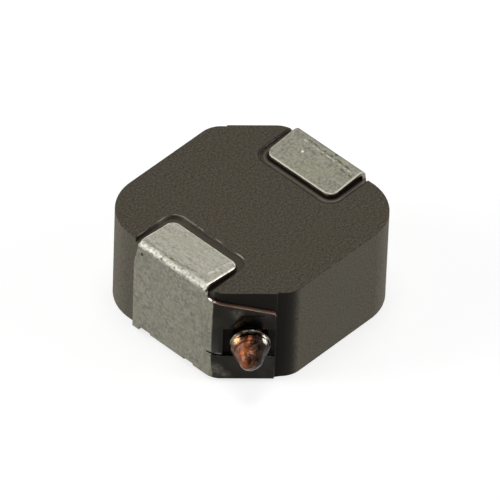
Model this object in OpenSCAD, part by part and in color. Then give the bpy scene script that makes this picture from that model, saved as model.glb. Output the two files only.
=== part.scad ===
// Moulded power inductor for surface mounting, 10 mm case.
// It lies on its plain face with the two solder pads up. The origin is at the
// middle of the plain face. X runs from the front terminal to the rear one.

/* [Moulded body] */
// Length of the body between the two terminal faces
body_l = 10; // [8.4:0.1:12]
// Width of the body between the two bare faces
body_w = 10; // [8.4:0.1:12]
// Height of the body
body_h = 5.2; // [4.4:0.1:7]
// Leg of the large chamfer at the two corners where the wire comes out
chamfer_leg = 2.48; // [2.1:0.02:3]
// Radius that blends the large chamfer into the side faces
chamfer_blend_r = 1.2; // [0.6:0.1:1.6]
// Radius of the two plain corners
corner_r = 2.35; // [1.2:0.05:2.6]
// Height of the land on the chamfer that the terminal wing lies on
land_h = 0.07; // [0.02:0.01:0.15]

/* [Pad pockets] */
// Depth of the pocket under each solder pad
pocket_depth = 0.25; // [0.22:0.01:0.5]
// Room between a pad's inner edge and the end of its pocket
pocket_end_room = 0.45; // [0.2:0.05:0.9]
// Distance of a pocket's long sides from the bare faces of the body
pocket_side_in = 2.65; // [2.4:0.05:2.7]
// Radius of a pocket's inner corners
pocket_r = 0.65; // [0.1:0.05:0.8]

/* [Terminals] */
// Thickness of the terminal sheet
sheet_t = 0.2; // [0.12:0.01:0.26]
// Gap between the sheet and the body
seat_gap = 0.05; // [0.02:0.01:0.1]
// Length of a solder pad, from the outer face of the terminal
pad_l = 2.25; // [1.6:0.05:2.8]
// Distance of the pad's edge beside the plain corner from the bare face
pad_corner_in = 3.03; // [2.9:0.01:3.4]
// Distance of the pad's edge beside the wing from the upright bend
pad_neck_in = 0.22; // [0.1:0.02:0.5]
// Radius of the pad's inner corners
pad_corner_r = 0.42; // [0.1:0.02:0.8]
// Angle at which a pad dips toward its inner edge
pad_droop = 5.5; // [0:0.5:6]
// Height of the pad's bend above the body
pad_rise = 0.21; // [0.15:0.01:0.4]
// Inner radius of the bend between side plate and pad
pad_bend_r = 0.15; // [0.1:0.01:0.2]
// Distance of the side plate's edge beside the plain corner from the bare face
plate_corner_in = 2.82; // [2.6:0.01:2.9]
// Height of the slanted shoulder where the side plate narrows to the pad
shoulder_h = 1.05; // [0.4:0.05:2]
// Inner radius of the upright bend between side plate and wing
wing_bend_r = 0.75; // [0.5:0.05:1]
// Height of the foot's leg above the plain face
sheet_lift = 0.06; // [0.03:0.01:0.2]
// Height of the heel's and the wing's lower edge above the plain face
heel_lift = 0.18; // [0.1:0.01:0.3]

/* [Forked wing] */
// Reach of the wing past the wire's centre line
wing_reach = 0.96; // [0.8:0.02:1.2]
// Height of the upper prong at its free end
prong_h = 0.9; // [0.6:0.05:1.1]
// Drop of the wing's upper edge from the pad's bend to the upright bend
neck_drop = 0.2; // [0.05:0.05:0.4]
// Radius of the upper prong's free corner
prong_r = 0.2; // [0.05:0.05:0.4]
// Room above and below the wire in the fork
fork_room = 0.18; // [0.05:0.01:0.25]
// Metal between the root of the fork and the upright bend
fork_root_in = 0.03; // [0.01:0.01:0.1]
// Width of the slit that runs on from the fork round the upright bend
slit_w = 0.1; // [0.05:0.01:0.2]

/* [Foot tongue] */
// Width of the leg that is left beside the notch at the plain corner
foot_leg_w = 0.4; // [0.2:0.05:0.6]
// Width of the relief notch beside that leg
notch_corner_w = 0.68; // [0.3:0.02:0.8]
// Width of the relief notch on the wing's side of the tongue
notch_wing_w = 0.6; // [0.3:0.02:0.8]
// Width of the heel between that notch and the upright bend
foot_heel_w = 0.79; // [0.2:0.01:0.9]
// Reach of the tongue under the body, from the outer face of the terminal
tongue_reach = 1.3; // [0.8:0.05:1.8]
// Inner radius of the tongue's bend
tongue_bend_r = 0.04; // [0.02:0.01:0.2]
// Room round the tongue in its pocket
tongue_room = 0.1; // [0.05:0.01:0.2]

/* [Winding] */
// Diameter of the enamelled round wire
wire_d = 1.3; // [1:0.02:1.56]
// Gap between neighbouring turns
turn_gap = 0.04; // [0.02:0.01:0.1]
// Full turns that the coil makes besides the half turn between its two ends
coil_turns = 3; // [3:1:3]
// Powder between the coil and the nearest side faces
coil_wall = 0.9; // [0.8:0.05:1.4]
// Height of the wire ends and of the middle of the coil
lead_z = 2.42; // [2.2:0.02:2.8]
// Distance of a wire end from the middle of its corner, toward the side plate
lead_side = 0.15; // [0:0.01:0.2]
// Centre line radius of the bend where a wire end leaves the coil
lead_bend_r = 1.6; // [1.2:0.1:1.8]
// Room between the coil and the powder round it
coil_room = 0.05; // [0.02:0.01:0.1]
// Room between a wire end and the passage that it leaves through
lead_room = 0.12; // [0.1:0.01:0.2]
// Room round the bend of a wire end
lead_bend_room = 0.46; // [0.38:0.02:0.5]

/* [Weld beads] */
// Reach of a bead's foot over each edge of the fork
bead_lap = 0.04; // [0.02:0.01:0.1]
// Bulge of a bead at its rim, past its foot
bead_bulge = 0.03; // [0.02:0.01:0.12]
// Height of the collar between the fork and the rim
bead_collar = 0.27; // [0.1:0.01:0.4]
// Height of the dome above the rim
bead_dome = 1.26; // [0.8:0.02:1.4]
// Radius of the dome's tip
bead_tip_r = 0.6; // [0.3:0.05:0.7]

/* [Hidden] */
$fn = 96;
far = 30;
blend_lift = 0.002;

// The front wire end leaves along this direction, seen from above. In the frame
// of a wire end, x runs out along the wire and y runs across it.
exit_a = 225;
root2 = sqrt(2);
chamfer_d = ((body_l + body_w) / 2 - chamfer_leg) / root2;
land_d = chamfer_d + land_h;
wing_in = land_d + seat_gap;
wing_out = wing_in + sheet_t;
land_reach = wing_reach + seat_gap;

// Faces, bends and edges of the front terminal.
plate_in = body_l / 2 + seat_gap;
plate_out = plate_in + sheet_t;
pad_bend_out = pad_bend_r + sheet_t;
pad_axis_x = pad_bend_out - plate_out;
pad_axis_z = body_h + pad_rise - pad_bend_out;
pad_run = (pad_l - pad_bend_out - pad_bend_out * sin(pad_droop)) / cos(pad_droop);
wing_bend_out = wing_bend_r + sheet_t;
bend_y = plate_out - root2 * wing_out + wing_bend_out * tan(22.5);
bend_start_u = (-plate_out - bend_y) / root2;
bend_end_u = wing_out - root2 * plate_out + wing_bend_out * tan(22.5);
pad_y = [bend_y + pad_neck_in, body_w / 2 - pad_corner_in];
plate_top_y = body_w / 2 - plate_corner_in;
tongue_bend_out = tongue_bend_r + sheet_t;
tongue_z = sheet_lift / 2;
tongue_axis_z = tongue_z + tongue_bend_out;
tongue_y = [bend_y + foot_heel_w + notch_wing_w, plate_top_y - foot_leg_w - notch_corner_w];

// Fork of the wing, round the wire.
fork_h = wire_d + 2 * fork_room;
fork_z = lead_z - fork_h / 2;
fork_root_u = bend_end_u + fork_root_in;
prong_z = fork_z + fork_h + prong_h;
neck_z = pad_axis_z - neck_drop;
neck_a = atan((neck_z - prong_z) / (wing_reach - bend_start_u));

// Winding: an upper and a lower flat layer, joined at the inner turn.
wire_r = wire_d / 2;
turn_pitch = wire_d + turn_gap;
coil_r_out = min(body_l, body_w) / 2 - coil_wall - coil_room - wire_r;
coil_r_in = coil_r_out - turn_pitch;
coil_sweep = 360 * coil_turns + 180 - lead_turn_a(1) - lead_turn_a(-1);
coil_step = 12;
lead_step = 9;
ring_sides = 16;
// Angle from a wire end's tangent point to where its layer steps inward.
inward_from = 255;
inward_over = 95;
// Angle over which the upper layer passes down into the lower one.
cross_over = 110;
// Angle of a wire end's bend over which the end leaves its layer's height.
level_a = 40;

// Foot and rim of a weld bead, and the ball at its tip. The cone meets the ball
// at tip_a above its middle, and crosses its surface by blend_lift.
bead_foot_r = fork_h / 2 + bead_lap;
bead_r = bead_foot_r + bead_bulge;
ball_z = bead_collar + bead_dome - bead_tip_r;
cone_tip_r = bead_tip_r - blend_lift;
tip_rise = ball_z - bead_collar;
tip_a = acos(cone_tip_r / norm([bead_r, tip_rise])) - atan(tip_rise / bead_r);

function ease(t) = let(c = max(0, min(1, t))) c * c * (3 - 2 * c);
function unit(v) = v / norm(v);

// Where the bend of a wire end begins, and its angle round the coil's axis. The
// front end has side 1 and the rear one -1.
function bend_center_y(side) = side * lead_bend_r - lead_side;
function lead_start_d(side) =
    sqrt(pow(coil_r_out + lead_bend_r, 2) - pow(bend_center_y(side), 2));
function lead_turn_a(side) = asin(abs(bend_center_y(side)) / (coil_r_out + lead_bend_r));

module plain_corner_cut() {
    translate([body_l / 2, -body_w / 2]) rotate(-45) blend_cut(corner_r, 90);
}

// What a blend of radius r takes off an edge at the origin whose two faces turn
// by that angle, with x pointing out of the material. The arc stands out past
// the faces by blend_lift, so that it crosses them instead of touching them.
module blend_cut(r, turn) {
    tangent = r * tan(turn / 2);
    difference() {
        translate([-tangent * sin(turn / 2), -tangent]) square(2 * tangent);
        translate([(blend_lift - r) / cos(turn / 2), 0]) circle(r);
    }
}

module exit_corner_cut() {
    rotate(exit_a) polygon([[land_d, -far], [land_d, land_reach],
                            [chamfer_d, land_reach], [chamfer_d, far], [far, far], [far, -far]]);
    translate([-body_l / 2, body_l / 2 - root2 * land_d])
        rotate(exit_a - 22.5) blend_cut(chamfer_blend_r, 45);
    translate([body_w / 2 - root2 * chamfer_d, -body_w / 2])
        rotate(exit_a + 22.5) blend_cut(chamfer_blend_r, 45);
}

// The body's outline: two plain corners and two chamfers with their lands.
module body_outline() {
    difference() {
        square([body_l, body_w], center = true);
        for (turn = [0, 180]) rotate(turn) {
            plain_corner_cut();
            exit_corner_cut();
        }
    }
}

// A rectangle from x0 to x1 with its two corners at x1 rounded.
module tab_outline(x0, x1, y0, y1, r) {
    translate([x0, y0]) square([x1 - x0 - r, y1 - y0]);
    translate([x0, y0 + r]) square([x1 - x0, y1 - y0 - 2 * r]);
    for (y = [y0 + r, y1 - r]) translate([x1 - r, y]) circle(r);
}

module pad_pocket() {
    half_w = body_w / 2 - pocket_side_in;
    translate([0, 0, body_h - pocket_depth]) linear_extrude(1)
        tab_outline(-body_l, pad_l - plate_out + pocket_end_room, -half_w, half_w, pocket_r);
}

module tongue_pocket() {
    depth = tongue_z + sheet_t + seat_gap;
    translate([-body_l, tongue_y[0] - tongue_room, -1])
        cube([body_l - plate_out + tongue_reach + tongue_room,
              tongue_y[1] - tongue_y[0] + 2 * tongue_room, depth + 1]);
}

// The ring-shaped space that the two layers of turns fill.
module coil_space() {
    r = wire_r + coil_room;
    translate([0, 0, lead_z]) rotate_extrude() {
        translate([coil_r_in - r, -turn_pitch / 2]) square([turn_pitch + 2 * r, turn_pitch]);
        translate([coil_r_in, -turn_pitch / 2 - r]) square([turn_pitch, turn_pitch + 2 * r]);
        for (x = [coil_r_in, coil_r_out], y = [-1, 1])
            translate([x, y * turn_pitch / 2]) circle(r);
    }
}

// A passage from distance d0 to d1 along a wire end, drawn out in height by rise.
module passage(d0, d1, r, rise) {
    translate([d0, -lead_side - r, lead_z + min(0, rise)]) cube([d1 - d0, 2 * r, abs(rise)]);
    for (z = [0, rise]) translate([d0, -lead_side, lead_z + z])
        rotate([0, 90, 0]) cylinder(r = r, h = d1 - d0);
}

// The way out of one wire end: a wide part round its bend, then a close one.
module lead_way(side) {
    passage(coil_r_out, lead_start_d(side), wire_r + lead_bend_room, side * turn_pitch / 2);
    passage(lead_start_d(side) - 0.1, far / 2, wire_r + lead_room, side * turn_pitch / 4);
}

module core_body() {
    color([0.29, 0.27, 0.24]) difference() {
        linear_extrude(body_h) body_outline();
        for (turn = [0, 180]) rotate(turn) {
            pad_pocket();
            tongue_pocket();
        }
        coil_space();
        rotate(exit_a) lead_way(1);
        rotate(exit_a + 180) lead_way(-1);
    }
}

// Height of a wire end off lead_z, at a length s from the wing.
function lead_rise(side, s) = side * turn_pitch / 2
    * ease(s / (wing_out - lead_start_d(side) + lead_bend_r * level_a * PI / 180));

// Points of one wire end from its bead to the coil, in that wire end's frame.
function lead_points(side) = let(start = lead_start_d(side)) concat(
    [for (d = [wing_out, (wing_out + start) / 2])
        [d, -lead_side, lead_z + lead_rise(side, wing_out - d)]],
    [for (a = [0 : lead_step : 90 - lead_turn_a(side) - lead_step / 2])
        [start - lead_bend_r * sin(a), side * lead_bend_r * (1 - cos(a)) - lead_side,
         lead_z + lead_rise(side, wing_out - start + lead_bend_r * a * PI / 180)]]);

// Radius and height of the coil at an angle a along its sweep.
function coil_r(a) = let(b = min(a, coil_sweep - a))
    coil_r_out - turn_pitch * ease((b - inward_from) / inward_over);
function coil_z(a) =
    lead_z + turn_pitch / 2 * (1 - 2 * ease((a - (coil_sweep - cross_over) / 2) / cross_over));

function spin(p, a) = [p[0] * cos(a) - p[1] * sin(a), p[0] * sin(a) + p[1] * cos(a), p[2]];
function reversed(list) = [for (i = [len(list) - 1 : -1 : 0]) list[i]];

coil_count = round(coil_sweep / coil_step);
wire_path = concat(
    [for (p = lead_points(1)) spin(p, exit_a)],
    [for (i = [0 : coil_count]) let(a = coil_sweep * i / coil_count)
        spin([coil_r(a), 0, coil_z(a)], exit_a + lead_turn_a(1) + a)],
    [for (p = reversed(lead_points(-1))) spin(p, exit_a + 180)]);

// Direction of the wire at point i of its path.
function heading(i) =
    i == 0 ? spin([-1, 0, 0], exit_a) :
    i == len(wire_path) - 1 ? spin([1, 0, 0], exit_a + 180) :
    unit(wire_path[i + 1] - wire_path[i - 1]);

function ring(i) = let(
    t = heading(i),
    across = unit(cross([0, 0, 1], t)),
    up = cross(t, across))
    [for (k = [0 : ring_sides - 1]) let(a = 360 * k / ring_sides)
        wire_path[i] + wire_r * (cos(a) * across + sin(a) * up)];

module winding() {
    last = len(wire_path) - 1;
    color([0.48, 0.22, 0.1]) polyhedron(
        points = [for (i = [0 : last]) each ring(i)],
        faces = concat(
            [[for (k = [0 : ring_sides - 1]) k]],
            [for (i = [0 : last - 1], k = [0 : ring_sides - 1]) let(n = (k + 1) % ring_sides)
                [i * ring_sides + k, (i + 1) * ring_sides + k,
                 (i + 1) * ring_sides + n, i * ring_sides + n]],
            [[for (k = [ring_sides - 1 : -1 : 0]) last * ring_sides + k]]),
        convexity = 10);
}

// The corner between a plate at x = -face and a wing at distance d, seen from above.
module corner_outline(face, d, r) {
    point = [-face, face - root2 * d];
    difference() {
        polygon([point, point + far * [1, -1] / root2, [far, far], [-face, far]]);
        translate(point) rotate(exit_a - 22.5) blend_cut(r, 45);
    }
}

// Side plate and wing, seen from above.
module wrap_outline() {
    intersection() {
        difference() {
            corner_outline(plate_out, wing_out, wing_bend_out);
            corner_outline(plate_in, wing_in, wing_bend_r);
        }
        translate([-far, -far]) square([2 * far, far + plate_top_y]);
        rotate(exit_a) translate([-far, -far]) square([2 * far, far + wing_reach]);
    }
}

// Prisms through the side plate and through the wing, from outlines that are
// drawn on those faces with the height as y.
module through_plate() {
    translate([-plate_out - 1, 0, 0]) rotate([90, 0, 90]) linear_extrude(1.5) children();
}

module through_wing() {
    rotate(exit_a) translate([wing_out - 1, 0, 0]) rotate([90, 0, 90]) linear_extrude(2) children();
}

// What is above the wing's upper edge, and outside the upper prong's free corner.
module wing_top_cut() {
    polygon([[bend_start_u, neck_z], [wing_reach + 1, prong_z - tan(neck_a)],
             [wing_reach + 1, body_h + 1], [bend_start_u, body_h + 1]]);
    translate([wing_reach, prong_z]) rotate((90 - neck_a) / 2) blend_cut(prong_r, 90 - neck_a);
}

module wrap() {
    difference() {
        translate([0, 0, sheet_lift]) linear_extrude(pad_axis_z - sheet_lift) wrap_outline();
        through_plate() {
            polygon([[plate_top_y, pad_axis_z - shoulder_h], [pad_y[1], pad_axis_z],
                     [pad_y[1], body_h + 1], [plate_top_y + 1, body_h + 1],
                     [plate_top_y + 1, pad_axis_z - shoulder_h]]);
            polygon([[pad_y[0], pad_axis_z], [bend_y, neck_z], [bend_y, body_h + 1],
                     [pad_y[0], body_h + 1]]);
            translate([tongue_y[0] - notch_wing_w, 0])
                square([tongue_y[1] - tongue_y[0] + notch_wing_w + notch_corner_w, tongue_axis_z]);
        }
        translate([-far, -far, 0]) cube([2 * far, far + tongue_y[0] - notch_wing_w / 2, heel_lift]);
        through_wing() {
            wing_top_cut();
            translate([fork_root_u, fork_z]) square([far, fork_h]);
            translate([bend_start_u, fork_z]) square([far, slit_w]);
        }
    }
}

// A bend about an axis along y, from angle a0 on over the angle sweep, seen
// from the side with x to the right and z up.
module sheet_bend(r, y, a0, sweep) {
    rotate([90, 0, 0]) rotate(a0) rotate_extrude(angle = sweep)
        translate([r, -y[1]]) square([sheet_t, y[1] - y[0]]);
}

module pad() {
    translate([pad_axis_x, 0, pad_axis_z]) {
        sheet_bend(pad_bend_r, pad_y, 90 - pad_droop, 90 + pad_droop);
        rotate([0, pad_droop, 0]) translate([0, 0, pad_bend_r]) linear_extrude(sheet_t)
            tab_outline(0, pad_run, pad_y[0], pad_y[1], pad_corner_r);
    }
}

module tongue() {
    translate([tongue_bend_out - plate_out, 0, tongue_axis_z]) {
        sheet_bend(tongue_bend_r, tongue_y, 180, 90);
        translate([0, tongue_y[0], -tongue_bend_out])
            cube([tongue_reach - tongue_bend_out, tongue_y[1] - tongue_y[0], sheet_t]);
    }
}

module terminal() {
    color([0.62, 0.62, 0.58]) {
        wrap();
        pad();
        tongue();
    }
}

module terminal_front() { terminal(); }

module terminal_rear() { rotate(180) terminal(); }

// A melted wire end: a collar on the fork, then a cone that runs into a ball.
module weld_bead() {
    color([0.72, 0.42, 0.27]) rotate(exit_a) translate([wing_out, -lead_side, lead_z]) rotate([0, 90, 0])
        rotate_extrude() {
            polygon([[0, 0], [bead_foot_r, 0], [bead_r, bead_collar],
                     [cone_tip_r * cos(tip_a), ball_z + cone_tip_r * sin(tip_a)], [0, ball_z]]);
            intersection() {
                translate([0, ball_z]) circle(bead_tip_r);
                square(far);
            }
        }
}

module weld_bead_front() { weld_bead(); }

module weld_bead_rear() { rotate(180) weld_bead(); }

core_body();
winding();
terminal_front();
terminal_rear();
weld_bead_front();
weld_bead_rear();
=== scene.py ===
from math import atan2, cos, pi, radians, sin, sqrt

import bmesh
import bpy
from mathutils import Matrix, Vector, noise
from mathutils.bvhtree import BVHTree


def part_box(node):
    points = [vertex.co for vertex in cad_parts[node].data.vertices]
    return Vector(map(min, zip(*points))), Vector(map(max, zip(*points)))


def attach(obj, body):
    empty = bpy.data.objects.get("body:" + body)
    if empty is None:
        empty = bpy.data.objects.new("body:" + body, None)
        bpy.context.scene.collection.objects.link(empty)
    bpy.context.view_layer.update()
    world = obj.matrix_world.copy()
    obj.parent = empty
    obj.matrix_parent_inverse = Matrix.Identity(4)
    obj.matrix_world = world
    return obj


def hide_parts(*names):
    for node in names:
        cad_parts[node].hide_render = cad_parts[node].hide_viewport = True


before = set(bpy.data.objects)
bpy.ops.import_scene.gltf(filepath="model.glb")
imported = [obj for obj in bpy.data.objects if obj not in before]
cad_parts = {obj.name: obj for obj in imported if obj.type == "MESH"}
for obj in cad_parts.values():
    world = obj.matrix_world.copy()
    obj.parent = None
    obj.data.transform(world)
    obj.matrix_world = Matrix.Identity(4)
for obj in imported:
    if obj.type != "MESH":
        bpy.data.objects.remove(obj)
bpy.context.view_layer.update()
scene = bpy.context.scene
MM = 0.001


# --- Sizes from the frame -------------------------------------------------------
# Only the front terminal and bead are measured, because the rear ones are the same
# turned half round. The sizes are in millimetres, which the materials count in.

outward = Vector((-sqrt(0.5), -sqrt(0.5), 0))     # the way the front wire end points
rightward = Vector((sqrt(0.5), -sqrt(0.5), 0))    # along the front wing, seen from outside


def span(node, direction):
    """Least and greatest reach of a CAD node along a direction, in metres."""
    reach = [direction.dot(point.co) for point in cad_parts[node].data.vertices]
    return min(reach), max(reach)


body_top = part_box("core_body")[1].z / MM
plate_out = -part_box("terminal_front")[0].x / MM
pad_end = -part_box("terminal_front")[1].x / MM
wing_out = span("weld_bead_front", outward)[0] / MM
bead_middle = (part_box("weld_bead_front")[0].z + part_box("weld_bead_front")[1].z) / 2 / MM
sheet_thickness = 0.2

# Outlines of a pad and of the pocket round it, on the block's top: inner end from the
# part's middle, middle across, half width and corner radius.
pad_outline = (pad_end, 0.07, 2.04, 0.42)
pocket_outline = (2.55, 0.0, 2.35, 0.65)


# --- Camera ---------------------------------------------------------------------

aim = Vector((0, 0, body_top / 2 + 0.01)) * MM
camera_azimuth, camera_elevation, camera_roll = radians(47.875), radians(44.267), radians(2.24)
camera_distance = 466.9 * MM
ahead = Vector((sin(camera_azimuth) * cos(camera_elevation),
                cos(camera_azimuth) * cos(camera_elevation), -sin(camera_elevation)))
level = Vector((cos(camera_azimuth), -sin(camera_azimuth), 0))
upward = level.cross(ahead)
right = level * cos(camera_roll) + upward * sin(camera_roll)
up = upward * cos(camera_roll) - level * sin(camera_roll)

# A small shift of the camera, which sets where the part lies in the frame.
framing = (right * -0.0295 + up * 0.0185) * MM
camera_data = bpy.data.cameras.new("camera")
camera_data.sensor_width = 36
camera_data.lens = 755.1
camera_data.clip_start, camera_data.clip_end = 0.01, 10
camera = bpy.data.objects.new("camera", camera_data)
scene.collection.objects.link(camera)
stand = Matrix((right, up, -ahead)).transposed().to_4x4()
stand.translation = aim + framing - ahead * camera_distance
camera.matrix_world = stand
scene.camera = camera


# --- What materials are made of ---------------------------------------------------

def hex_colour(code):
    """An sRGB hex value as a linear colour."""
    srgb = [int(code[start:start + 2], 16) / 255 for start in (1, 3, 5)]
    linear = [part / 12.92 if part <= 0.04045 else ((part + 0.055) / 1.055) ** 2.4 for part in srgb]
    return (*linear, 1.0)


def new_material(name):
    """A material without nodes, and its node tree."""
    material = bpy.data.materials.new(name)
    material.use_nodes = True
    material.node_tree.nodes.clear()
    return material, material.node_tree


def add(tree, kind, *values, **named):
    """Adds a shader node. Names in lower case are its settings and other names its
    inputs. Plain values go to its inputs in order. A hex value is a colour, and a
    node given as a value is linked by its first output."""
    node = tree.nodes.new("ShaderNode" + kind)
    for name in [name for name in named if name.islower()]:
        setattr(node, name, named.pop(name))
    sockets = [socket for socket in node.inputs if socket.enabled][:len(values)]
    sockets += [node.inputs[name.replace("_", " ")] for name in named]
    for socket, value in zip(sockets, values + tuple(named.values())):
        if isinstance(value, bpy.types.Node):
            value = next(output for output in value.outputs if output.enabled)
        if isinstance(value, bpy.types.NodeSocket):
            tree.links.new(value, socket)
        else:
            socket.default_value = hex_colour(value) if isinstance(value, str) else value
    return node


# For a Map Range, whose inputs are the value, its low and high, and what they turn to.
SMOOTH = {"interpolation_type": "SMOOTHSTEP"}


def millimetres(tree, turn=0.0):
    """Object coordinates in millimetres, turned about the upright axis: a vector and its axes."""
    place = add(tree, "Mapping", add(tree, "TexCoord").outputs["Object"], Rotation=(0, 0, turn),
                Scale=(1 / MM, 1 / MM, 1 / MM))
    return place, add(tree, "SeparateXYZ", place).outputs


def weld_axes(tree, axes):
    """Distance outward through the nearer weld corner, and to the right along its
    wing as it is seen from outside."""
    corner = add(tree, "Math", axes["X"], axes["Y"], operation="ADD")
    side = add(tree, "Math", corner, operation="SIGN")
    out = add(tree, "Math", add(tree, "Math", corner, operation="ABSOLUTE"), sqrt(0.5),
              operation="MULTIPLY")
    along = add(tree, "Math", axes["Y"], axes["X"], operation="SUBTRACT")
    along = add(tree, "Math", add(tree, "Math", along, side, operation="MULTIPLY"), sqrt(0.5),
                operation="MULTIPLY")
    return out, along


def from_outline(tree, axes, end, middle, half_width, corner):
    """Distance outward from a pad's or a pocket's rounded outline, which opens at the
    terminal's side. It serves both terminals."""
    side = add(tree, "Math", axes["X"], operation="SIGN")
    along = add(tree, "Math", axes["Y"], side, -middle, operation="MULTIPLY_ADD")
    inward = add(tree, "Math", end + corner, add(tree, "Math", axes["X"], operation="ABSOLUTE"),
                 operation="SUBTRACT")
    aside = add(tree, "Math", add(tree, "Math", along, operation="ABSOLUTE"), half_width - corner,
                operation="SUBTRACT")
    beyond = [add(tree, "Math", value, 0.0, operation="MAXIMUM") for value in (inward, aside)]
    length = add(tree, "VectorMath", add(tree, "CombineXYZ", *beyond), operation="LENGTH")
    return add(tree, "Math", length, corner, operation="SUBTRACT")


def patches(tree, place, size, low, high, least=0.0, most=1.0, detail=2.0, rough=0.5):
    """Ragged patches about size millimetres across, which pass from least to most
    where the noise goes from low to high."""
    cloud = add(tree, "TexNoise", place, 1 / size, detail, rough)
    return add(tree, "MapRange", cloud, low, high, least, most, **SMOOTH)


def band(tree, value, low, high, soft):
    """1 between low and high, passing to 0 over soft on both sides."""
    rise = add(tree, "MapRange", value, low - soft, low, **SMOOTH)
    fall = add(tree, "MapRange", value, high, high + soft, 1.0, 0.0, **SMOOTH)
    return add(tree, "Math", rise, fall, operation="MULTIPLY")


def spot(tree, place, centre, radius, soft):
    """1 within radius of a point, passing to 0 over soft."""
    away = add(tree, "VectorMath", place, centre, operation="DISTANCE")
    return add(tree, "MapRange", away, radius, radius + soft, 1.0, 0.0, **SMOOTH)


def streak(tree, place, start, end, half, soft):
    """1 within half of a line between two points of the XY plane, passing to 0 over
    soft beside it and three times as far past its ends."""
    way = Vector(end) - Vector(start)
    turn = -atan2(way.y, way.x)
    shift = Matrix.Rotation(turn, 2) @ -Vector(start)
    along = add(tree, "Mapping", place, (shift.x, shift.y, 0), (0, 0, turn))
    axes = add(tree, "SeparateXYZ", along).outputs
    return add(tree, "Math", band(tree, axes["X"], 0.0, way.length, 3 * soft),
               band(tree, axes["Y"], -half, half, soft), operation="MULTIPLY")


def ragged(tree, place, size, reach):
    """The coordinates pushed about by up to half of reach, for marks with ragged edges."""
    push = add(tree, "TexNoise", place, 1 / size, 2.0).outputs["Color"]
    moved = add(tree, "VectorMath", push, (reach,) * 3, place, operation="MULTIPLY_ADD")
    return add(tree, "VectorMath", moved, (reach / 2,) * 3, operation="SUBTRACT")


def layered(tree, colour, *layers):
    """Lays colours one over another, each as thick as the product of its factors."""
    for code, where, *factors in layers:
        for factor in factors:
            where = add(tree, "Math", where, factor, operation="MULTIPLY")
        colour = add(tree, "Mix", where, colour, code, data_type="RGBA")
    return colour


# --- Materials of the block -----------------------------------------------------

def pressed_powder():
    """Carbonyl iron powder with a resin, pressed in a die and cured. The grains
    give a matte grey-brown skin with fine speckle and pinholes. The flat walls are
    painted lighter than the top, as painted light for the side lamps, besides a little
    die burnish. Grains of 0.01 mm are too fine to show, so the speckle is drawn
    about 0.1 mm across."""
    material, tree = new_material("pressed_iron_powder")
    place, axes = millimetres(tree)
    speckle = patches(tree, place, 0.10, 0.3, 0.7, detail=3.0, rough=0.65)
    pinhole = add(tree, "MapRange", add(tree, "TexVoronoi", place, 1 / 0.42), 0.06, 0.13, 0.5, 0.0,
                  **SMOOTH)

    facing = add(tree, "SeparateXYZ", add(tree, "NewGeometry").outputs["Normal"]).outputs
    level_face = add(tree, "Math", facing["Z"], operation="ABSOLUTE")
    wall = add(tree, "MapRange", level_face, 0.2, 0.8, 1.0, 0.0, **SMOOTH)
    flat_side = add(tree, "Math", add(tree, "Math", facing["X"], operation="ABSOLUTE"),
                    add(tree, "Math", facing["Y"], operation="ABSOLUTE"), operation="MAXIMUM")
    flat_side = add(tree, "MapRange", flat_side, 0.72, 0.85, **SMOOTH)
    # Painted light: the walls are drawn lighter than the top for the side lamps, with a little die burnish.
    burnished_and_lit_walls = layered(tree, "#504B42", ("#706B60", speckle),
                        ("#5E5F52", patches(tree, place, 1.6, 0.4, 0.7, 0.0, 0.4)))

    # Painted shade, with some weld soot: the walls at a weld corner, which no lamp lights, are drawn near
    # black.
    weld_out = weld_axes(tree, axes)[0]
    soot_and_shade = add(tree, "MapRange", weld_out, wing_out - 0.62, wing_out - 0.33, 0.0, 0.9, **SMOOTH)

    # The pocket floors are painted lighter, as painted light for the low lamps that the
    # pocket walls shade off them. Painted shadow lies close to the pads, darker in the
    # rear pocket, which also has a painted light line on its floor and painted shade
    # along its rim.
    pocket_floor = add(tree, "Math", band(tree, axes["Z"], body_top - 0.4, body_top - 0.2, 0.1),
                       add(tree, "MapRange", facing["Z"], 0.8, 0.9), operation="MULTIPLY")
    from_pad = from_outline(tree, axes, *pad_outline)
    from_pocket = from_outline(tree, axes, *pocket_outline)
    # Painted shadow close to the pads, darker in the rear pocket.
    pad_shadow = add(tree, "MapRange", from_pad, 0.02, 0.10, 0.8, 0.0, **SMOOTH)
    rear = add(tree, "Math", axes["X"], 0.0, operation="GREATER_THAN")
    rear_pad_shadow = add(tree, "MapRange", from_pad, 0.04, 0.10, 0.9, 0.0, **SMOOTH)
    on_top = add(tree, "MapRange", axes["Z"], body_top - 0.1, body_top - 0.05)

    colour = layered(
        tree, "#2E2922",
        ("#5E574B", speckle),
        ("#48483A", patches(tree, place, 1.3, 0.35, 0.7, 0.0, 0.3)),
        ("#52433A", patches(tree, place, 0.45, 0.56, 0.75, 0.0, 0.22)),
        (burnished_and_lit_walls, wall, flat_side),
        ("#100E0B", wall, soot_and_shade),
        ("#1E1B17", pinhole),
        # Painted light on the pocket floors.
        ("#6E665A", pocket_floor, 0.6),
        ("#14110D", pocket_floor, pad_shadow),
        ("#0C0A08", pocket_floor, rear, rear_pad_shadow),
        # A painted light line on the rear pocket's floor.
        ("#8A8274", pocket_floor, rear, band(tree, from_pad, 0.16, 0.20, 0.05), 0.8),
        # Painted shade along the rear pocket's rim on the top.
        ("#14110D", on_top, rear, band(tree, from_pocket, -0.02, 0.06, 0.04), 0.95))
    height = add(tree, "Math", speckle, pinhole, operation="SUBTRACT")
    bump = add(tree, "Bump", Strength=0.4, Distance=0.012 * MM, Height=height)
    rough = add(tree, "MapRange", speckle, 0.0, 1.0, 0.74, 0.88)
    shader = add(tree, "BsdfPrincipled", Base_Color=colour, Roughness=rough, Specular_IOR_Level=0.2,
                 Normal=bump)
    add(tree, "OutputMaterial", shader)
    return material


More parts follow.
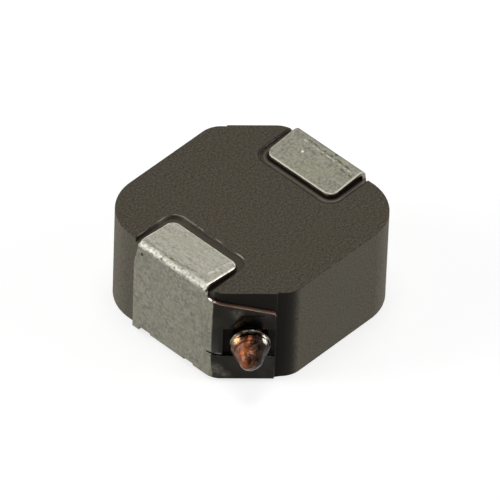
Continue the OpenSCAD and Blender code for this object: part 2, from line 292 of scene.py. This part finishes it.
def rubbed_rim():
    """The round rims of the pockets, where the die rubs powder and resin smooth in
    places. These places are painted lighter as painted glints, the front pocket's
    corner has a painted highlight, and the rear rim is painted dark as painted shade."""
    material, tree = new_material("rubbed_powder_rim")
    place, axes = millimetres(tree)
    # Rubbed places, made smoother and painted lighter as painted glints.
    wear_and_glints = patches(tree, place, 0.55, 0.46, 0.6)
    # A painted highlight on the front pocket's corner.
    corner_glint = spot(tree, place, (-2.53, -1.70, body_top - 0.06), 0.12, 0.22)
    colour = layered(tree, "#302B24",
                     ("#4C463E", patches(tree, place, 0.16, 0.3, 0.72, detail=3.0, rough=0.6)),
                     ("#7C766B", wear_and_glints),
                     ("#A8A294", corner_glint, 0.9),
                     # Painted shade on the rear pocket's rim.
                     ("#1A1713", add(tree, "MapRange", axes["X"], 0.0, 0.1, 0.0, 0.75)))
    rough = add(tree, "MapRange", wear_and_glints, 0.0, 1.0, 0.8, 0.4)
    shader = add(tree, "BsdfPrincipled", Base_Color=colour, Roughness=rough, Specular_IOR_Level=0.4)
    add(tree, "OutputMaterial", shader)
    return material


# --- Materials of the terminals ---------------------------------------------------
# Marks and creases are placed as if each terminal were the front one. A mark has a
# centre, a radius, a soft edge, a strength and a colour. A crease has two ends, half
# its width, a soft edge, a strength and a colour.

front_marks = [((-5.25, 1.71, 4.77), 0.06, 0.05, 0.95, "#1C1A15"),
               ((-5.12, -0.56, 5.42), 0.05, 0.08, 0.7, "#6E4E36"),
               ((-5.22, 0.59, 5.26), 0.04, 0.05, 0.85, "#3E3E38"),
               ((-5.22, -0.20, 5.28), 0.04, 0.05, 0.85, "#3E3E38"),
               ((-5.25, -1.38, 3.22), 0.05, 0.10, 0.6, "#5A574A"),
               ((-5.25, -0.98, 4.42), 0.05, 0.10, 0.4, "#5A574A")]
# The dark crease lines are painted shade in the creases, and the light ones painted highlights along them.
front_creases = [((-5.06, 0.72), (-4.80, -1.23), 0.025, 0.04, 0.9, "#58533F"),
                 ((-4.36, -1.61), (-2.95, -1.76), 0.03, 0.09, 0.45, "#ACACA8"),
                 ((-4.36, -1.61), (-3.62, -1.88), 0.02, 0.08, 0.45, "#ACACA8")]
rear_marks = [((-4.14, -0.86, 5.34), 0.03, 0.07, 0.9, "#BCC9BF"),
              ((-5.01, 0.40, 5.42), 0.05, 0.06, 0.9, "#2C2B24")]
# The rear crease lines are painted shade and painted highlights in the same way.
rear_creases = [((-4.71, -1.22), (-4.64, 1.61), 0.02, 0.05, 0.5, "#B4B4AA"),
                ((-4.60, -0.15), (-4.45, 1.77), 0.02, 0.06, 0.9, "#504E3E"),
                ((-4.84, -1.3), (-4.76, 1.5), 0.03, 0.05, 0.9, "#504E3E")]

# Marks on a wing, in the wing's plane, along it and up: patches like the marks,
# lines like the creases, and the middle of a darker spot above the bead. The
# patches are painted reflections of the bead and of the lit floor and painted glints
# at the slit; the dark lines are painted shadow lines and the light one a painted
# highlight.
wing_patches = [((-0.75, 4.18, 0), 0.10, 0.30, 0.45, "#615F54"),
                ((-0.70, 3.60, 0), 0.06, 0.22, 0.5, "#553C22"),
                ((-1.66, 0.74, 0), 0.15, 0.35, 0.35, "#77746A"),
                ((-1.20, 0.50, 0), 0.05, 0.25, 0.35, "#77746A"),
                ((-1.52, 1.62, 0), 0.03, 0.15, 0.5, "#8A8A80"),
                ((0.78, 1.62, 0), 0.03, 0.06, 0.7, "#A8A8A0")]
wing_lines = [((-0.95, 3.46), (-0.50, 4.03), 0.02, 0.08, 0.8, "#0E0C0A"),
              ((-0.50, 4.03), (0.35, 4.08), 0.02, 0.08, 0.7, "#0E0C0A"),
              ((-0.92, 3.33), (-0.10, 3.26), 0.03, 0.08, 0.8, "#0E0C0A"),
              ((-0.98, 3.16), (-0.70, 3.05), 0.01, 0.05, 0.6, "#6E6A5E")]
dark_spot_middle = (0.2, bead_middle + 0.85, 0)


def scorched_and_shaded_wing(tree, place, wing):
    """The colour of a wing that the weld's heat has darkened, where wing is its plane.
    Its dark is also a painted reflection of the shaded floor in front of it.
    """
    smudged = ragged(tree, wing, 0.25, 0.45)
    mottled = patches(tree, wing, 0.12, 0.35, 0.6, 0.35, 1.0)
    return layered(
        tree, "#242320",
        ("#2E2C27", patches(tree, place, 0.9, 0.4, 0.7)),
        # A darker spot above the bead.
        ("#1A1612", spot(tree, smudged, dark_spot_middle, 0.5, 0.5), 0.6),
        # Painted reflections and glints, painted shadow lines and a painted highlight line.
        *[(code, spot(tree, smudged, centre, radius, soft), mottled, strength)
          for centre, radius, soft, strength, code in wing_patches],
        *[(code, streak(tree, wing, start, end, half, soft), strength)
          for start, end, half, soft, strength, code in wing_lines])


def tinned_sheet(name, turn, tin, bend_highlight, rolling, marks, creases):
    """Copper sheet with a matte tin plating, stamped and bent round the body. The
    tin is a soft grey metal with a mottled crystal grain. The weld's heat has
    darkened the wing, which also has a painted dark reflection. Grain of 0.02 mm is
    drawn 0.1 to 0.2 mm across. A sheet's own are its dark and light tin, which are
    painted darker on the rear sheet as painted shade, the painted highlight of the
    grains at its bend, and how clearly its rolling lines show."""
    material, tree = new_material(name)
    place, axes = millimetres(tree, turn)
    weld_out, along_wing = weld_axes(tree, axes)
    grain = patches(tree, place, 0.14, 0.3, 0.7, detail=3.0, rough=0.6)
    on_top = add(tree, "MapRange", axes["Z"], body_top - 0.05, body_top + 0.05, **SMOOTH)

    # Rolling lines run along the pad, and drawing marks up and down the plate where
    # the sheet turns to the wing.
    rolled = patches(tree, add(tree, "Mapping", place, Scale=(1, 0.15, 1)), 0.1, 0.4, 0.7, 0.0, rolling)
    drawn = patches(tree, add(tree, "Mapping", place, Scale=(1, 1, 0.12)), 0.12, 0.45, 0.7, 0.0, 0.75)
    near_wing = add(tree, "Math", add(tree, "MapRange", axes["Y"], -2.6, -1.3, 1.0, 0.0, **SMOOTH),
                    add(tree, "MapRange", axes["Z"], body_top - 0.6, body_top - 0.1, 1.0, 0.0, **SMOOTH),
                    operation="MULTIPLY")

    # The plating is stretched and cracked to fine grains round the pad's bend, which
    # are painted bright there as a painted highlight.
    at_bend = add(tree, "Math",
                  add(tree, "MapRange", axes["X"], 0.17 - plate_out, 0.27 - plate_out, 1.0, 0.0, **SMOOTH),
                  add(tree, "MapRange", axes["Z"], body_top - 0.12, body_top - 0.02, **SMOOTH),
                  operation="MULTIPLY")
    cracked = patches(tree, place, 0.17, 0.30, 0.65, rough=0.7)
    broken = patches(tree, place, 0.17, 0.4, 0.62, detail=1.0)
    dark_tin, light_tin = tin
    plating = layered(
        tree, dark_tin,
        (light_tin, grain),
        ("#83836F", patches(tree, place, 0.7, 0.4, 0.7, 0.0, 0.4)),
        ("#96968F", on_top, rolled),
        # Painted highlight on the bend's grains.
        (bend_highlight, at_bend, cracked),
        ("#6A675A", near_wing, drawn),
        *[(code, spot(tree, place, centre, radius, soft), strength)
          for centre, radius, soft, strength, code in marks],
        # Painted shade and painted highlights of the creases.
        *[(code, streak(tree, place, start, end, half, soft), on_top, broken, strength)
          for start, end, half, soft, strength, code in creases])

    # The wing is darkened, up to a ragged border in its bend, by the weld's heat and
    # by a painted dark reflection.
    border = add(tree, "Math", weld_out, patches(tree, place, 0.8, 0.3, 0.7, -0.01, 0.01),
                 operation="ADD")
    border = add(tree, "Math", border, add(tree, "MapRange", axes["Z"], 0.4, 1.3, -0.03, 0.0),
                 operation="ADD")
    heated_and_shaded = add(tree, "MapRange", border, wing_out - 0.14, wing_out - 0.10, **SMOOTH)
    wing = add(tree, "CombineXYZ", along_wing, axes["Z"])

    # Painted dark reflection, over the heat tint, on the wing.
    colour = layered(tree, plating, (scorched_and_shaded_wing(tree, place, wing), heated_and_shaded))
    lumps = add(tree, "Math", at_bend, cracked, grain, operation="MULTIPLY_ADD")
    bump = add(tree, "Bump", Strength=0.35, Distance=0.008 * MM, Height=lumps)
    rough = add(tree, "MapRange", grain, 0.0, 1.0, 0.34, 0.44)
    rough = add(tree, "Math", heated_and_shaded, -0.2, rough, operation="MULTIPLY_ADD")
    rough = add(tree, "Math", at_bend, 0.10, rough, operation="MULTIPLY_ADD")
    shader = add(tree, "BsdfPrincipled", Base_Color=colour, Metallic=1.0, Roughness=rough, Normal=bump)
    add(tree, "OutputMaterial", shader)
    return material


def bright_rim():
    """The rolled-over rims of the pads, where handling has rubbed the tin bright.
    Their light colour is also a painted highlight, and the rear rims are drawn darker."""
    material, tree = new_material("rubbed_tin_rim_highlight")
    place, axes = millimetres(tree)
    # Painted highlight on the rims, drawn darker on the rear ones.
    colour = layered(tree, "#CACAC0",
                     ("#A9A99D", patches(tree, place, 0.3, 0.4, 0.65)),
                     ("#908F82", add(tree, "MapRange", axes["X"], 0.0, 0.1, 0.0, 0.9)))
    shader = add(tree, "BsdfPrincipled", Base_Color=colour, Metallic=1.0, Roughness=0.38)
    add(tree, "OutputMaterial", shader)
    return material


def cut_copper():
    """The sheared edge of the terminal sheet, where the copper core shows between
    the platings: reddish brown, drawn matte by the punch, with tin smeared over."""
    material, tree = new_material("cut_copper_edge")
    place, axes = millimetres(tree)
    weld_out, along_wing = weld_axes(tree, axes)

    # Painted shade makes it dark everywhere but along the upper edge of a wing, which
    # faces the light.
    lit_upper_edge = add(tree, "Math",
                add(tree, "MapRange", weld_out, wing_out - 0.30, wing_out - 0.19, **SMOOTH),
                add(tree, "MapRange", axes["Z"], 3.7, 4.1, **SMOOTH), operation="MULTIPLY")
    lit_upper_edge = add(tree, "Math", lit_upper_edge,
                add(tree, "MapRange", along_wing, -1.34, -0.21, 0.3, 1.0, **SMOOTH),
                operation="MULTIPLY")
    shaded_edge = add(tree, "MapRange", lit_upper_edge, 0.0, 1.0, 0.8, 0.0)

    # The ends of the pad's bend are tinned, and its inner end is smeared with tin.
    out = add(tree, "Math", axes["X"], operation="ABSOLUTE")
    on_pad = add(tree, "MapRange", axes["Z"], body_top - 0.25, body_top - 0.2, **SMOOTH)
    bend_end = add(tree, "MapRange", out, plate_out - 0.35, plate_out - 0.25, **SMOOTH)
    inner_end = add(tree, "MapRange", out, pad_end + 0.02, pad_end + 0.10, 1.0, 0.0, **SMOOTH)
    colour = layered(
        tree, "#B08673",
        ("#9A9086", patches(tree, place, 0.3, 0.4, 0.6, 0.0, 0.6)),
        ("#7A4E3C", patches(tree, place, 0.8, 0.5, 0.7, 0.0, 0.4, detail=1.0)),
        # Painted shade on the edges out of the light.
        ("#3A2A20", shaded_edge),
        # Two painted glints on burrs where the plate turns to the wing.
        ("#FFFFFF", spot(tree, place, (-5.24, -2.42, 4.84), 0.09, 0.04)),
        ("#C0B8B0", spot(tree, place, (-5.14, -2.63, 4.79), 0.04, 0.04)),
        ("#8E8C84", on_pad, bend_end, 0.8),
        ("#9A8E78", on_pad, inner_end))
    shader = add(tree, "BsdfPrincipled", Base_Color=colour, Metallic=1.0, Roughness=0.45)
    add(tree, "OutputMaterial", shader)
    return material


# --- Materials of the wire --------------------------------------------------------

def enamel():
    """Magnet wire enamel: a clear amber polyimide film over bright copper, which
    reads as a glossy red-brown."""
    material, tree = new_material("wire_enamel")
    place = millimetres(tree)[0]
    colour = layered(tree, "#6E3418", ("#8A4A24", patches(tree, place, 0.6, 0.3, 0.7)))
    shader = add(tree, "BsdfPrincipled", Base_Color=colour, Metallic=0.6, Roughness=0.3, Coat_Weight=0.6,
                 Coat_Roughness=0.1)
    add(tree, "OutputMaterial", shader)
    return material


def melted_copper():
    """Copper wire end melted by the welding arc. It froze as a smooth bead under a
    film of brown and black oxide, with orange metal where the film is thin."""
    material, tree = new_material("melted_copper")
    place, axes = millimetres(tree)
    weld_out, along_wing = weld_axes(tree, axes)
    film = patches(tree, place, 0.4, 0.33, 0.55, detail=3.0, rough=0.6)
    thin_film = add(tree, "MapRange", along_wing, -0.35, 0.15, 1.0, 0.0, **SMOOTH)
    thick_film = add(tree, "MapRange", along_wing, -0.6, 0.0, 0.3, 1.0, **SMOOTH)

    # The collar is painted black on its middle as a painted dark reflection, and light
    # on its flanks as painted glints on clean metal, over a belt of painted shade.
    belt = band(tree, weld_out, wing_out + 0.60, wing_out + 0.66, 0.05)
    collar = add(tree, "MapRange", weld_out, wing_out + 0.48, wing_out + 0.58, 1.0, 0.0, **SMOOTH)
    left_flank = add(tree, "MapRange", along_wing, -0.72, -0.58, 1.0, 0.0, **SMOOTH)
    left_top = add(tree, "MapRange", axes["Z"], bead_middle + 0.18, bead_middle + 0.48, 0.1, 1.0, **SMOOTH)
    right_flank = add(tree, "MapRange", along_wing, 0.34, 0.46, **SMOOTH)
    right_top = add(tree, "MapRange", axes["Z"], bead_middle + 0.33, bead_middle + 0.48, **SMOOTH)
    colour = layered(
        tree, "#3A2E2A",
        ("#8A5A42", thin_film, 0.5),
        ("#201610", film, thick_film),
        ("#8A4A2C", thin_film, patches(tree, place, 0.40, 0.44, 0.62, 0.0, 0.6)),
        ("#9A5628", thin_film, patches(tree, place, 0.3, 0.5, 0.62, 0.0, 0.6)),
        ("#0E0805", patches(tree, place, 0.26, 0.5, 0.6, 0.0, 0.9), thick_film),
        # Painted shade under the collar.
        ("#120C09", belt, 0.7),
        # Painted dark reflection on the collar's middle.
        ("#1E140F", collar, 0.85),
        # Painted glints on the collar's flanks.
        ("#A88462", collar, left_flank, left_top),
        ("#D8D0C0", collar, right_flank, right_top))
    rough = add(tree, "MapRange", collar, 0.0, 1.0, 0.28, 0.14)
    bump = add(tree, "Bump", Strength=0.5, Distance=0.03 * MM, Height=film)
    shader = add(tree, "BsdfPrincipled", Base_Color=colour, Metallic=1.0, Roughness=rough, Normal=bump)
    add(tree, "OutputMaterial", shader)
    return material


def melted_tin():
    """Tin plating that the arc melted and drew up against the bead's foot. It froze
    smooth, and shines grey between sooty patches."""
    material, tree = new_material("melted_tin")
    place = millimetres(tree)[0]
    colour = layered(tree, "#6C6D65", ("#2C2924", patches(tree, place, 0.35, 0.4, 0.58)))
    shader = add(tree, "BsdfPrincipled", Base_Color=colour, Metallic=1.0, Roughness=0.25)
    add(tree, "OutputMaterial", shader)
    return material


# --- Making pieces ----------------------------------------------------------------

def merged_copy(node):
    """A CAD node's mesh with its doubles merged and its flat areas made single faces."""
    shape = bmesh.new()
    shape.from_mesh(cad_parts[node].data)
    bmesh.ops.remove_doubles(shape, verts=shape.verts, dist=0.0004 * MM)
    bmesh.ops.dissolve_limit(shape, angle_limit=radians(0.4), verts=shape.verts, edges=shape.edges)
    return shape


def sharp_edges(shape):
    """The edges where two faces meet at more than 40 degrees."""
    return [edge for edge in shape.edges if edge.is_manifold and edge.calc_face_angle() > radians(40)]


def round_edges(shape, edges, radius, segments, clamp=True):
    """Rounds edges over, by less than the radius where a short edge is in the way
    and clamp is on."""
    bmesh.ops.bevel(shape, geom=edges, offset=radius, offset_type="OFFSET", affect="EDGES",
                    segments=segments, profile=0.5, material=-1, clamp_overlap=clamp)


def make_piece(name, shape, materials, slot, *replaced):
    """Makes an object of a bmesh, which rides on the part and stands for CAD nodes."""
    mesh = bpy.data.meshes.new(name)
    shape.to_mesh(mesh)
    shape.free()
    for material in materials:
        mesh.materials.append(material)
    mesh.shade_smooth()
    mesh.set_sharp_from_angle(angle=radians(50))
    piece = bpy.data.objects.new(name, mesh)
    scene.collection.objects.link(piece)
    even = piece.modifiers.new("even_shading", "WEIGHTED_NORMAL")
    even.keep_sharp = True
    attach(piece, "root")
    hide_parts(*replaced)


# --- Pieces -----------------------------------------------------------------------

def moulded_body():
    """The pressed block, with the rims of its top and of its plain face rounded."""
    shape = merged_copy("core_body")
    top = body_top * MM
    near = 0.001 * MM
    # The shortest edges stay sharp, because they would hold back the rounding.
    shortest = 0.075 * MM
    rim = [edge for edge in sharp_edges(shape)
           if all(abs(point.co.z - top) < near or point.co.z < near for point in edge.verts)
           and edge.calc_length() > shortest]
    round_edges(shape, rim, 0.09 * MM, 3)

    # Within this much of the middle, a rim is a pocket's and not the outline's.
    pocket_x, pocket_y = 4.85 * MM, 2.8 * MM
    for face in shape.faces:
        middle = face.calc_center_median()
        at_pocket = abs(middle.x) < pocket_x and abs(middle.y) < pocket_y
        on_rim = 0.2 < face.normal.z < 0.98 and middle.z > top - 0.1 * MM
        face.material_index = 1 if on_rim and at_pocket else 0
    make_piece("moulded_body", shape, [pressed_powder(), rubbed_rim()], "pressed_powder", "core_body")


def bent_terminal(side, turn, sheet):
    """A bent sheet terminal, with copper on its sheared edges and a rubbed rim round
    its pad."""
    shape = merged_copy("terminal_" + side)
    # A face with more metal behind it than the sheet is thick is a sheared edge.
    surface = BVHTree.FromBMesh(shape)
    for face in shape.faces:
        inside = face.calc_center_median() - face.normal * 0.01 * MM
        depth = surface.ray_cast(inside, -face.normal)[3] or 0
        face.material_index = 1 if depth > 1.3 * sheet_thickness * MM else 0

    pad_low = (body_top - 0.03) * MM
    pad_rim = [edge for edge in sharp_edges(shape)
               if min(point.co.z for point in edge.verts) > pad_low
               and max(face.normal.z for face in edge.link_faces) > 0.6]
    round_edges(shape, pad_rim, 0.08 * MM, 3, clamp=False)
    round_edges(shape, sharp_edges(shape), 0.03 * MM, 2)
    for face in shape.faces:
        over_pad = face.calc_center_median().z > (body_top - 0.08) * MM and face.normal.z > 0.3
        aslant = face.normal.x * cos(turn) > 0.25 or abs(face.normal.y) > 0.25
        if over_pad and aslant:
            face.material_index = 2
    make_piece("bent_terminal_" + side, shape, [sheet, copper_edge, tin_rim], "tinned_sheet",
               "terminal_" + side)


def weld_bead(side, turn, seed):
    """A frozen drop: a ring of tin at its foot, a groove, and a copper dome."""
    foot, tip = span("weld_bead_front", outward)
    low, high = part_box("weld_bead_front")
    radius = (high.z - low.z) / 2
    centre = outward * foot + rightward * sum(span("weld_bead_front", rightward)) / 2
    centre.z = (low.z + high.z) / 2

    # The outline from foot to tip: millimetres from the foot, and share of the radius.
    outline = [(0.0, 0.95), (0.05, 1.0), (0.11, 0.995), (0.15, 0.95), (0.18, 0.9), (0.22, 0.895),
               (0.27, 0.945), (0.33, 0.975), (0.42, 0.93), (0.6, 0.85), (0.8, 0.755), (1.0, 0.665)]
    ring_height = 0.16 * MM
    lift_height = 0.10 * MM
    tip_radius = 0.57 * MM
    tip_middle = tip - foot - tip_radius
    points = [(height * MM, share * radius) for height, share in outline]
    points += [(tip_middle + tip_radius * sin(radians(angle)), tip_radius * cos(radians(angle)))
               for angle in range(25, 90, 8)]
    points += [(tip - foot, 0.0)]

    shape = bmesh.new()
    line = [shape.verts.new((0, 0, 0))] + [shape.verts.new((aside, 0, height)) for height, aside in points]
    for start, end in zip(line, line[1:]):
        shape.edges.new((start, end))
    bmesh.ops.spin(shape, geom=shape.verts[:] + shape.edges[:], cent=(0, 0, 0), axis=(0, 0, 1),
                   angle=2 * pi, steps=72, use_merge=True)
    bmesh.ops.remove_doubles(shape, verts=shape.verts, dist=0.002 * MM)
    bmesh.ops.recalc_face_normals(shape, faces=shape.faces)
    for face in shape.faces:
        face.material_index = 1 if face.calc_center_median().z < ring_height else 0

    # Lumps and ripples, which leave the foot flat on the wing.
    for point in shape.verts:
        lift = min(1.0, point.co.z / lift_height)
        lump = noise.noise(point.co / (0.55 * MM) + Vector((seed, 0, 0)))
        ripple = noise.noise(point.co / (0.22 * MM) + Vector((0, seed, 0)))
        point.co += point.normal * lift * (0.045 * lump + 0.015 * ripple) * MM

    facing = Matrix((rightward, Vector((0, 0, 1)), outward)).transposed().to_4x4()
    facing.translation = centre
    bmesh.ops.transform(shape, matrix=Matrix.Rotation(turn, 4, "Z") @ facing, verts=shape.verts)
    bmesh.ops.recalc_face_normals(shape, faces=shape.faces)
    make_piece("melted_bead_" + side, shape, [bead_copper, bead_tin], "melted_copper",
               "weld_bead_" + side)


moulded_body()

copper_edge, tin_rim = cut_copper(), bright_rim()
bent_terminal("front", 0.0, tinned_sheet("matte_tin_front", 0.0, ("#6A685C", "#908D80"), "#B4B4A9", 0.5,
                                         front_marks, front_creases))
# The rear sheet's darker tin and duller bend are painted shade, a shaded copy of the front sheet's colours.
bent_terminal("rear", pi, tinned_sheet("matte_tin_rear", pi, ("#605E53", "#838174"), "#7E7E70", 0.15,
                                       rear_marks, rear_creases))

wire_enamel = enamel()
for material_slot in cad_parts["winding"].material_slots:
    material_slot.material = wire_enamel

bead_copper, bead_tin = melted_copper(), melted_tin()
weld_bead("front", 0.0, 3.7)
weld_bead("rear", pi, 9.1)


# --- Floor, background and light --------------------------------------------------

def seen_directly(tree):
    """1 for rays from the camera and for those that a mirror or glass passes on."""
    rays = add(tree, "LightPath").outputs
    mirrored = add(tree, "Math", rays["Is Glossy Ray"], rays["Is Transmission Ray"], operation="MAXIMUM")
    return add(tree, "Math", rays["Is Camera Ray"], mirrored, operation="MAXIMUM")


def white_paper():
    """Paper that looks white itself and throws little light up at the part."""
    material, tree = new_material("white_paper")
    dull = add(tree, "BsdfDiffuse", "#3A3A38")
    lit = add(tree, "AddShader", add(tree, "BsdfDiffuse", "#B4B4B4"), add(tree, "Emission", "#FFFFFF", 0.7))
    add(tree, "OutputMaterial", add(tree, "MixShader", seen_directly(tree), dull, lit))
    return material


# The floor lies a hair under the part, so that its plain face isn't in the same plane.
floor_mesh = bpy.data.meshes.new("floor")
sheet_of_paper = bmesh.new()
bmesh.ops.create_grid(sheet_of_paper, x_segments=1, y_segments=1, size=0.9)
bmesh.ops.translate(sheet_of_paper, vec=(0, 0, -0.005 * MM), verts=sheet_of_paper.verts)
sheet_of_paper.to_mesh(floor_mesh)
sheet_of_paper.free()
floor_mesh.materials.append(white_paper())
floor = bpy.data.objects.new("floor", floor_mesh)
scene.collection.objects.link(floor)

# The world looks white and gives only a dim light.
world = bpy.data.worlds.new("studio")
world.use_nodes = True
world_tree = world.node_tree
world_tree.nodes.clear()
dim = add(world_tree, "Background", "#FFFFFF", 0.04)
white = add(world_tree, "Background", "#FFFFFF", 1.0)
add(world_tree, "OutputWorld", add(world_tree, "MixShader", seen_directly(world_tree), dim, white))
scene.world = world


def softbox(name, bearing, elevation, width, height, radiance, mirrored=True):
    """A soft lamp that faces the part from a bearing and an elevation in degrees, the
    bearing counted from +X toward +Y. Its width and height are in metres, and its
    radiance in watts per square metre and steradian. It shows in reflections only
    if it is mirrored."""
    distance = 0.4
    way = Vector((cos(radians(bearing)) * cos(radians(elevation)),
                  sin(radians(bearing)) * cos(radians(elevation)), sin(radians(elevation))))
    light = bpy.data.lights.new(name, "AREA")
    light.shape, light.size, light.size_y = "RECTANGLE", width, height
    light.energy = radiance * pi * width * height
    lamp = bpy.data.objects.new(name, light)
    lamp.location = way * distance
    lamp.rotation_euler = way.to_track_quat("Z", "Y").to_euler()
    lamp.visible_glossy = mirrored
    scene.collection.objects.link(lamp)


# The two strong lamps aren't mirrored, so that a pad keeps its grey at a low angle.
softbox("softbox_left", 138, 21, 0.30, 0.30, 2.6)
softbox("lamp_left", 139, 12, 0.12, 0.12, 18.0, mirrored=False)
softbox("softbox_right", 312, 21, 0.30, 0.30, 2.2)
softbox("lamp_right", 311, 12, 0.12, 0.12, 14.0, mirrored=False)
softbox("softbox_back", 36, 38, 0.26, 0.16, 1.2)
softbox("softbox_top", 45, 88, 0.16, 0.16, 5.6)
scene.view_settings.view_transform = "Standard"
